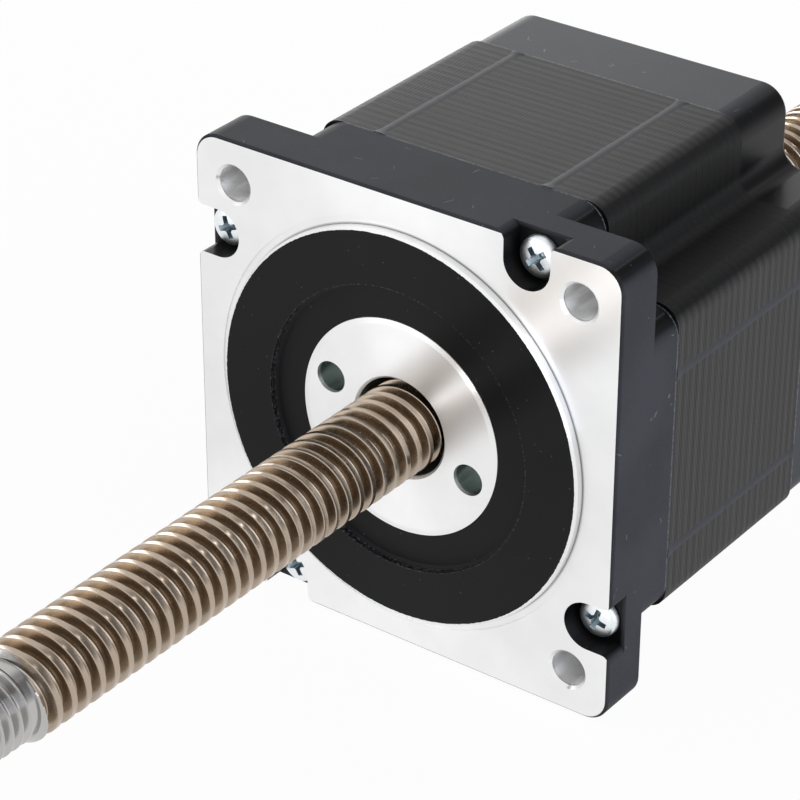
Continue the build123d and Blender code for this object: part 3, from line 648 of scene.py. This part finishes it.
def finish_mottled(name, colour, roughness, grain, metallic=0.0, contrast=0.2):
    """Moulded, plated or dipped surface: a soft mottle of tone and gloss, at its grain in millimetres."""
    material, tree, place = new_finish(name, {"Metallic": metallic})
    mottle = add_node(tree, "TexNoise", {"Vector": place, "Scale": 1 / grain, "Detail": 4.0})
    tone = vary(tree, colour[:3], mottle, 1 - contrast, 1 + contrast)
    rough = {"Value": mottle, "To Min": roughness * 0.8, "To Max": roughness * 1.2}
    rough = add_node(tree, "MapRange", rough)
    lay_finish(tree, tone, rough, mottle, strength=0.2, height=0.05)
    return material


def dress(node, finish):
    """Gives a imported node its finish, in its own material slot."""
    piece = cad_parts[node]
    if not piece.material_slots:
        piece.data.materials.append(finish)
    for slot in piece.material_slots:
        slot.material = finish


class STEPPER_OT_finish_castings(bpy.types.Operator):
    """Finish the two black castings and the turned collar"""

    bl_idname = "stepper.finish_castings"
    bl_label = "Finish castings and collar"

    def execute(self, context):
        finishes = context.scene.stepper_finishes
        dress("front_end_bell", finish_faced_casting(finishes))
        dress("rear_end_bell", finish_black_casting(finishes))
        dress("nut_collar", finish_turned_collar(finishes))
        dress("lead_grommet", finish_mottled("moulded_black_rubber", finishes.rubber, 0.6, 0.8))
        return {"FINISHED"}


def is_side(face):
    """True for a face that runs along the motor's axis."""
    steepest = 0.1
    return abs(face.normal.y) < steepest


def outer_sides(bm, screws):
    """Faces on the stack's outside, and not in a screw hole or a winding slot."""
    across, up = screws.across, heads_high.x - screws.head_radius
    clearance, yoke, margin = 0.6 * MM, 5 * MM, 0.2 * MM
    hole_reach = screws.shank_radius + clearance
    inner_reach = half_side - yoke + margin
    found = []
    for face in bm.faces:
        middle = face.calc_center_median()
        x, z = abs(middle.x), abs(middle.z)
        in_hole = any(math.hypot(x - a, z - b) < hole_reach for a, b in ((across, up), (up, across)))
        if is_side(face) and not in_hole and math.hypot(x, z) > inner_reach:
            found.append(face)
    return found


class STEPPER_OT_stack_laminations(bpy.types.Operator):
    """Cut the stator's sides into single sheets with slightly uneven edges"""

    bl_idname = "stepper.stack_laminations"
    bl_label = "Stack laminations"

    def execute(self, context):
        sizes = context.scene.stepper_stack
        screws = context.scene.stepper_housing_screws
        rings_per_sheet = 3
        flat_angle = math.radians(0.3)
        bm = bmesh.new()
        bm.from_mesh(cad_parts["stator_stack"].data)
        bmesh.ops.remove_doubles(bm, verts=bm.verts, dist=WELD_TOLERANCE)
        outer = outer_sides(bm, screws)
        edges = list({e for f in outer for e in f.edges})
        verts = list({v for f in outer for v in f.verts})
        bmesh.ops.dissolve_limit(bm, angle_limit=flat_angle, verts=verts, edges=edges)
        outer = outer_sides(bm, screws)
        long_edges = {e for f in outer for e in f.edges if abs(e.verts[0].co.y - e.verts[1].co.y) > stack_length / 2}
        sheets = round(stack_length / sizes.sheet)
        rings = sheets * rings_per_sheet
        bmesh.ops.subdivide_edges(bm, edges=list(long_edges), cuts=rings - 1, use_grid_fill=True)
        bm.normal_update()
        rng = random.Random(7)
        edge_place = [rng.uniform(-1, 1) * sizes.stagger for _ in range(sheets)]
        moves = []
        for vert in bm.verts:
            ring = round((vert.co.y - stack_low.y) / stack_length * rings)
            sheet, part = divmod(ring, rings_per_sheet)
            if not 0 < ring < rings or not all(is_side(f) for f in vert.link_faces):
                continue
            if max(abs(vert.co.x), abs(vert.co.z)) < half_side / 2:
                continue
            outward = Vector((vert.normal.x, 0, vert.normal.z)).normalized()
            if part == 0:
                moves.append((vert, outward * -sizes.groove))
            else:
                target = stack_low.y + sheet * sizes.sheet + (sizes.gap if part == 1 else sizes.sheet - sizes.gap)
                moves.append((vert, outward * edge_place[sheet] + AXIS * (target - vert.co.y)))
        for vert, move in moves:
            vert.co += move
        sheared = finish_laminations(context.scene.stepper_finishes)
        piece = put_in_scene(bm, "stator_laminations", "housing", sheared)
        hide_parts("stator_stack")
        return {"FINISHED"}


class STEPPER_OT_lay_welds(bpy.types.Operator):
    """Lay two weld beads on each side of the stack"""

    bl_idname = "stepper.lay_welds"
    bl_label = "Lay welds"

    def execute(self, context):
        sizes = context.scene.stepper_stack
        facets = 12
        step = 0.3 * MM
        wave, wander, wander_length = 0.03, 0.08, 2.5 * MM
        end_swell, end_reach = 0.3, 1.4 * MM
        turn_seed, side_seed = 7.3, 3.1
        middle = (stack_low.y + stack_high.y) / 2
        rings = round(stack_length / step)
        outline = [(1, ring * stack_length / rings - stack_length / 2) for ring in range(rings + 1)]
        outline = [(0, -stack_length / 2), *outline, (0, stack_length / 2)]
        bm = bmesh.new()
        for turn in range(4):
            for side in (-1, 1):
                bead = bmesh.new()
                spin_outline(bead, outline, facets)
                seed = Vector((turn * turn_seed, side * side_seed, 0))
                for vert in bead.verts:
                    along = vert.co.y
                    swell = 1 + wave * math.sin(2 * math.pi * along / sizes.ripple)
                    swell += wander * noise.noise(seed + Vector((0, 0, along / wander_length)))
                    swell += end_swell * max(0.0, 1 - (stack_length / 2 - abs(along)) / end_reach)
                    vert.co.x *= sizes.weld_width / 2 * swell
                    vert.co.z *= sizes.weld_height * swell
                place = (side * sizes.weld_spacing / 2, middle, half_side - sizes.weld_sink)
                lay = Matrix.Rotation(turn * math.pi / 2, 4, "Y") @ Matrix.Translation(place)
                bmesh.ops.transform(bead, matrix=lay, verts=bead.verts)
                bm.from_mesh(store_mesh(bead, "one_bead"))
        put_in_scene(bm, "stack_weld_beads", "housing", finish_weld(context.scene.stepper_finishes))
        return {"FINISHED"}


class STEPPER_OT_roll_lead_screw(bpy.types.Operator):
    """Roll the two-start lead screw and cut its journal"""

    bl_idname = "stepper.roll_lead_screw"
    bl_label = "Roll lead screw"

    def execute(self, context):
        sizes = context.scene.stepper_lead_screw
        finishes = context.scene.stepper_finishes
        radius = screw_high.x
        shoulder = -sizes.shoulder
        neck_front = shoulder - sizes.neck_width
        overlap = 0.4 * MM
        rolled = finish_rolled_thread(finishes, radius / MM, (shoulder + sizes.shoulder_chamfer) / MM)
        thread = cut_thread(
            shoulder,
            screw_high.y,
            radius,
            sizes.pitch,
            sizes.starts,
            screw_tooth(sizes),
            sizes.columns,
            (sizes.shoulder_chamfer, sizes.end_chamfer),
            sizes.phase,
        )
        piece = put_in_scene(thread, "lead_screw_thread", "lead_screw", rolled)
        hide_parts("lead_screw")
        cut_steel = finish_turned_metal("cut_journal_steel", finishes.journal_steel, 0.19, 0.2, 0.02)
        journal = cut_thread(
            screw_low.y,
            neck_front,
            sizes.journal_radius,
            sizes.journal_pitch,
            1,
            sharp_tooth(sizes.journal_pitch, sizes.journal_depth),
            sizes.columns,
            (sizes.journal_chamfer, sizes.journal_radius - sizes.neck_radius),
        )
        put_in_scene(journal, "journal_thread", "lead_screw", cut_steel)
        neck = bmesh.new()
        front, back = neck_front - overlap, shoulder + overlap
        outline = [(0, front), (sizes.neck_radius, front), (sizes.neck_radius, back), (0, back)]
        spin_outline(neck, outline, sizes.columns)
        put_in_scene(neck, "journal_neck", "lead_screw", cut_steel)
        return {"FINISHED"}


def carve(piece, cutters):
    """Cuts each closed cutter out of a piece, and removes the cutters."""
    for cutter in cutters:
        cut = piece.modifiers.new("cut", "BOOLEAN")
        cut.object = cutter
        cut.operation = "DIFFERENCE"
        cut.solver = "EXACT"
    evaluated = piece.evaluated_get(bpy.context.evaluated_depsgraph_get())
    carved = bmesh.new()
    carved.from_mesh(evaluated.to_mesh())
    for thing in [piece, *cutters]:
        bpy.data.objects.remove(thing)
    return carved


def loose_object(bm, name):
    """A helper object, for the cuts alone."""
    bmesh.ops.recalc_face_normals(bm, faces=bm.faces)
    helper = bpy.data.objects.new(name, store_mesh(bm, name))
    bpy.context.scene.collection.objects.link(helper)
    return helper


def recess_wing(sizes, turn):
    """One wing pair of the cross recess, narrower and shorter at its floor."""
    floor_share, floor_width = 0.45, 0.72
    mouth_share, mouth_width = 1.1, 1.03
    stand_out = 0.1
    bm = bmesh.new()
    bmesh.ops.create_cube(bm, size=1)
    for vert in bm.verts:
        deep = vert.co.y > 0
        vert.co.x *= sizes.recess_span * (floor_share if deep else mouth_share)
        vert.co.z *= sizes.recess_width * (floor_width if deep else mouth_width)
        vert.co.y = sizes.recess_depth if deep else -stand_out * sizes.recess_depth
    bmesh.ops.rotate(bm, cent=(0, 0, 0), matrix=Matrix.Rotation(turn, 3, "Y"), verts=bm.verts)
    return loose_object(bm, "recess_wing")


def turn_pan_head(sizes, reach):
    """The screw's head and plain shank, domed in front, with its cross recess cut."""
    columns = 48
    dome_steps = 9
    rim, rim_share = 0.25 * MM, 0.3
    centre_facets, centre_mouth, centre_floor, centre_depth, centre_sink = 24, 0.95, 0.3, 1.3, 0.6
    shank_end = reach - sizes.thread_length
    quarter = [step / dome_steps * math.pi / 2 for step in range(dome_steps)]
    dome_radius = sizes.head_radius - rim * rim_share
    outline = [(dome_radius * math.sin(turn), sizes.head_dome * (1 - math.cos(turn))) for turn in quarter]
    outline += [
        (sizes.head_radius, sizes.head_dome + rim),
        (sizes.head_radius, sizes.head_height - rim),
        (sizes.head_radius - rim, sizes.head_height),
        (sizes.shank_radius, sizes.head_height),
        (sizes.shank_radius, shank_end),
        (0, shank_end),
    ]
    head = bmesh.new()
    spin_outline(head, outline, columns)
    centre = bmesh.new()
    bmesh.ops.create_cone(
        centre,
        cap_ends=True,
        segments=centre_facets,
        radius1=sizes.recess_width * centre_mouth,
        radius2=sizes.recess_width * centre_floor,
        depth=sizes.recess_depth * centre_depth,
    )
    sink = Matrix.Translation((0, sizes.recess_depth * centre_sink, 0)) @ Matrix.Rotation(-math.pi / 2, 4, "X")
    bmesh.ops.transform(centre, matrix=sink, verts=centre.verts)
    cutters = [recess_wing(sizes, 0), recess_wing(sizes, math.pi / 2), loose_object(centre, "recess_centre")]
    return carve(loose_object(head, "screw_head"), cutters)


class STEPPER_OT_drive_housing_screws(bpy.types.Operator):
    """Make the four cross-recessed pan head screws"""

    bl_idname = "stepper.drive_housing_screws"
    bl_label = "Drive housing screws"

    def execute(self, context):
        sizes = context.scene.stepper_housing_screws
        finishes = context.scene.stepper_finishes
        thread_columns = 24
        thread_share = 0.6
        root_chamfer, tip_chamfer = 0.01 * MM, 0.4 * MM
        slot_turns = (52, 18, -25, 70)
        reach = heads_high.y - heads_low.y
        screw = turn_pan_head(sizes, reach)
        # The faces round the head's middle and under its dome are the recess, which has its own finish, painted darker
        # as painted shade
        recess_reach, recess_top, recess_foot = 0.6 * sizes.recess_span, 0.3 * MM, sizes.head_height - 0.1 * MM
        for face in screw.faces:
            middle = face.calc_center_median()
            near_axis = math.hypot(middle.x, middle.z) < recess_reach
            face.material_index = int(near_axis and recess_top < middle.y < recess_foot)
        thread = cut_thread(
            reach - sizes.thread_length,
            reach,
            sizes.shank_radius,
            sizes.thread_pitch,
            1,
            sharp_tooth(sizes.thread_pitch, thread_share * sizes.thread_pitch),
            thread_columns,
            (root_chamfer, tip_chamfer),
        )
        screw.from_mesh(store_mesh(thread, "screw_end"))
        single = store_mesh(screw, "one_screw")
        group = bmesh.new()
        across, up = sizes.across, heads_high.x - sizes.head_radius
        places = ((across, up), (up, -across), (-across, -up), (-up, across))
        for (x, z), turn in zip(places, slot_turns):
            before = len(group.verts)
            group.from_mesh(single)
            group.verts.ensure_lookup_table()
            drive = Matrix.Translation((x, heads_low.y, z)) @ Matrix.Rotation(math.radians(turn), 4, "Y")
            bmesh.ops.transform(group, matrix=drive, verts=group.verts[before:])
        zinc = finish_mottled("bright_zinc_plated_steel", finishes.zinc, 0.36, 0.5, 1.0, 0.1)
        # The recess is painted darker than the zinc, as painted shade
        recess_shade_finish = finish_mottled("shaded_driven_recess", finishes.recess, 0.4, 0.5, 1.0, 0.2)
        piece = put_in_scene(group, "cross_recessed_housing_screws", "housing", zinc)
        piece.data.materials.append(recess_shade_finish)
        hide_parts("housing_screws")
        return {"FINISHED"}


class STEPPER_OT_finish_inner_parts(bpy.types.Operator):
    """Finish the windings, cores, bearings, sleeve and nut inside"""

    bl_idname = "stepper.finish_inner_parts"
    bl_label = "Finish inner parts"

    def execute(self, context):
        finishes = context.scene.stepper_finishes
        wire = finish_turned_metal("enamelled_copper_wire", finishes.copper, 0.3, 0.8, 0.3)
        nylon = finish_mottled("moulded_glass_filled_nylon", finishes.nylon, 0.55, 1.2, contrast=0.08)
        core = finish_turned_metal("ground_core_laminations", finishes.core_steel, 0.35, 0.5, 0.05)
        ground = finish_turned_metal("ground_bearing_steel", finishes.bearing_steel, 0.16, 0.2, 0.01)
        turned = finish_turned_metal("turned_sleeve_steel", finishes.core_steel, 0.3, 0.25, 0.02)
        cage = finish_mottled("moulded_cage_nylon", finishes.nylon, 0.5, 0.6, contrast=0.12)
        for end in ("front", "rear"):
            dress(f"{end}_insulator", nylon)
            dress(f"{end}_rotor_core", core)
            dress(f"{end}_bearing_cage", cage)
            for kind in ("outer_ring", "inner_ring", "balls", "shields"):
                dress(f"{end}_bearing_{kind}", ground)
        for phase in ("phase_a_coils", "phase_b_coils"):
            dress(phase, wire)
        for part in ("rotor_sleeve", "rotor_spacer"):
            dress(part, turned)
        dress("rotor_magnet", finish_mottled("nickel_plated_magnet", finishes.magnet, 0.25, 1.0, 1.0, 0.1))
        dress("drive_nut", finish_turned_metal("machined_bronze", finishes.bronze, 0.3, 0.3, 0.02))
        dress("wave_washer", finish_mottled("blued_spring_steel", finishes.core_steel, 0.3, 0.7, 1.0, 0.15))
        return {"FINISHED"}


def add_lamp(name, place, aim, size, watts, tint="FFFFFF"):
    """A square soft lamp at a place, turned towards its aim."""
    data = bpy.data.lights.new(name, "AREA")
    data.size = size
    data.energy = watts
    data.color = linear(tint)[:3]
    lamp = bpy.data.objects.new(name, data)
    lamp.location = place
    lamp.rotation_euler = (aim - place).to_track_quat("-Z", "Y").to_euler()
    bpy.context.scene.collection.objects.link(lamp)


def seen_rays(tree):
    """1 for rays from the camera, glossy or clear surfaces, and 0 for diffuse light. Also gives the ray's kinds."""
    rays = add_node(tree, "LightPath").node.outputs
    seen = add_node(tree, "Math", {0: rays["Is Camera Ray"], 1: rays["Is Glossy Ray"]}, operation="MAXIMUM")
    return add_node(tree, "Math", {0: seen, 1: rays["Is Transmission Ray"]}, operation="MAXIMUM"), rays


def light_room(ambient):
    """A white room that is seen at full strength and lights the motor more softly.

    It is dark behind the motor at the upper right, which only glossy surfaces show.
    """
    dark_way = Vector((0.49, 0.69, 0.49)).normalized()
    dark_edge, dark_middle = math.cos(math.radians(42)), math.cos(math.radians(12))
    dark_share = 0.8
    world = bpy.data.worlds.new("studio")
    bpy.context.scene.world = world
    world.use_nodes = True
    tree = world.node_tree
    seen, rays = seen_rays(tree)
    strength = add_node(tree, "MapRange", {"Value": seen, "To Min": ambient})
    way = add_node(tree, "TexCoord", output="Generated")
    facing = add_node(tree, "VectorMath", {0: way, 1: dark_way}, "Value", operation="DOT_PRODUCT")
    dark = {"Value": facing, "From Min": dark_edge, "From Max": dark_middle, "To Max": -dark_share}
    dark = add_node(tree, "MapRange", dark, interpolation_type="SMOOTHSTEP")
    strength = add_node(tree, "Math", {0: dark, 1: rays["Is Glossy Ray"], 2: strength}, operation="MULTIPLY_ADD")
    plug(tree, tree.nodes["Background"], {"Color": (1, 1, 1, 1), "Strength": strength})


def finish_floor(stage):
    """White seamless paper: it shows as white, and keeps a soft shadow of the motor."""
    glow_share = 0.96
    material = bpy.data.materials.new("seamless_paper")
    material.use_nodes = True
    tree = material.node_tree
    give_shader(tree, {"Base Color": stage.floor, "Roughness": 0.9})
    seen, _ = seen_rays(tree)
    share = add_node(tree, "Math", {0: seen, 1: glow_share}, operation="MULTIPLY")
    glow = add_node(tree, "Emission", {"Color": (1, 1, 1, 1), "Strength": 1.0})
    paper = tree.nodes["Principled BSDF"].outputs[0]
    mixed = add_node(tree, "MixShader", {0: share, 1: paper, 2: glow})
    plug(tree, tree.nodes["Material Output"], {"Surface": mixed})
    return material


class STEPPER_OT_set_stage(bpy.types.Operator):
    """Set the camera, the lamps, the pale floor and the background"""

    bl_idname = "stepper.set_stage"
    bl_label = "Set stage"

    def execute(self, context):
        stage = context.scene.stepper_stage
        data = bpy.data.cameras.new("camera")
        data.lens = stage.lens
        data.sensor_width = 36
        data.clip_start = 0.01
        camera = bpy.data.objects.new("camera", data)
        turn = Matrix.Rotation(math.radians(stage.azimuth_deg), 4, "Z")
        tilt = Matrix.Rotation(math.radians(90 - stage.elevation_deg), 4, "X")
        roll = Matrix.Rotation(math.radians(stage.roll_deg), 4, "Z")
        camera.matrix_world = Matrix.Translation(stage.camera_place) @ turn @ tilt @ roll
        context.scene.collection.objects.link(camera)
        context.scene.camera = camera

        middle = Vector((0, 0.03, 0))
        lamps = (
            ("left_panel", (-0.67, 0.69, 0.13), 0.6, stage.panel_watts, "FFFFFF"),
            ("rear_spot", (0.22, 0.55, 0.55), 0.04, stage.spot_watts, "FFFFFF"),
            ("side_lamp", (0.88, -0.16, 0.3), 0.9, stage.side_watts, "E4EDFF"),
            ("fill_lamp", (-0.5, -0.8, 0.18), 0.6, stage.fill_watts, "FFFFFF"),
            ("front_lamp", (0.0, -1.0, 0.0), 0.06, stage.front_watts, "FFFFFF"),
        )
        for name, reach, size, watts, tint in lamps:
            add_lamp(name, middle + Vector(reach), middle, size, watts, tint)
        light_room(stage.ambient)

        floor_reach = 3.0
        bm = bmesh.new()
        bmesh.ops.create_grid(bm, x_segments=1, y_segments=1, size=floor_reach)
        bmesh.ops.translate(bm, verts=bm.verts, vec=(0, 0, cad_box[0][2]))
        floor = bpy.data.objects.new("studio_floor", store_mesh(bm, "studio_floor"))
        context.scene.collection.objects.link(floor)
        floor.data.materials.append(finish_floor(stage))
        context.scene.view_settings.view_transform = "Standard"
        return {"FINISHED"}


STEPS = (
    STEPPER_OT_finish_castings,
    STEPPER_OT_stack_laminations,
    STEPPER_OT_lay_welds,
    STEPPER_OT_roll_lead_screw,
    STEPPER_OT_drive_housing_screws,
    STEPPER_OT_finish_inner_parts,
    STEPPER_OT_set_stage,
)
SETTINGS = {
    "stepper_lead_screw": LeadScrewSizes,
    "stepper_stack": StackSizes,
    "stepper_housing_screws": HousingScrewSizes,
    "stepper_finishes": MotorFinishes,
    "stepper_stage": StageSettings,
}


class STEPPER_PT_sidebar(bpy.types.Panel):
    """Lists the steps that dress the motor"""

    bl_idname = "STEPPER_PT_sidebar"
    bl_label = "Stepper motor"
    bl_space_type = "VIEW_3D"
    bl_region_type = "UI"
    bl_category = "Stepper motor"

    def draw(self, context):
        for step in STEPS:
            self.layout.operator(step.bl_idname)


def register():
    for cls in (*SETTINGS.values(), *STEPS, STEPPER_PT_sidebar):
        bpy.utils.register_class(cls)
    for name, group in SETTINGS.items():
        setattr(bpy.types.Scene, name, PointerProperty(type=group))


def unregister():
    for name in SETTINGS:
        delattr(bpy.types.Scene, name)
    for cls in (STEPPER_PT_sidebar, *reversed(STEPS), *SETTINGS.values()):
        bpy.utils.unregister_class(cls)


def main():
    register()
    for step in STEPS:
        group, action = step.bl_idname.split(".")
        getattr(getattr(bpy.ops, group), action)()


if __name__ == "__main__":
    main()
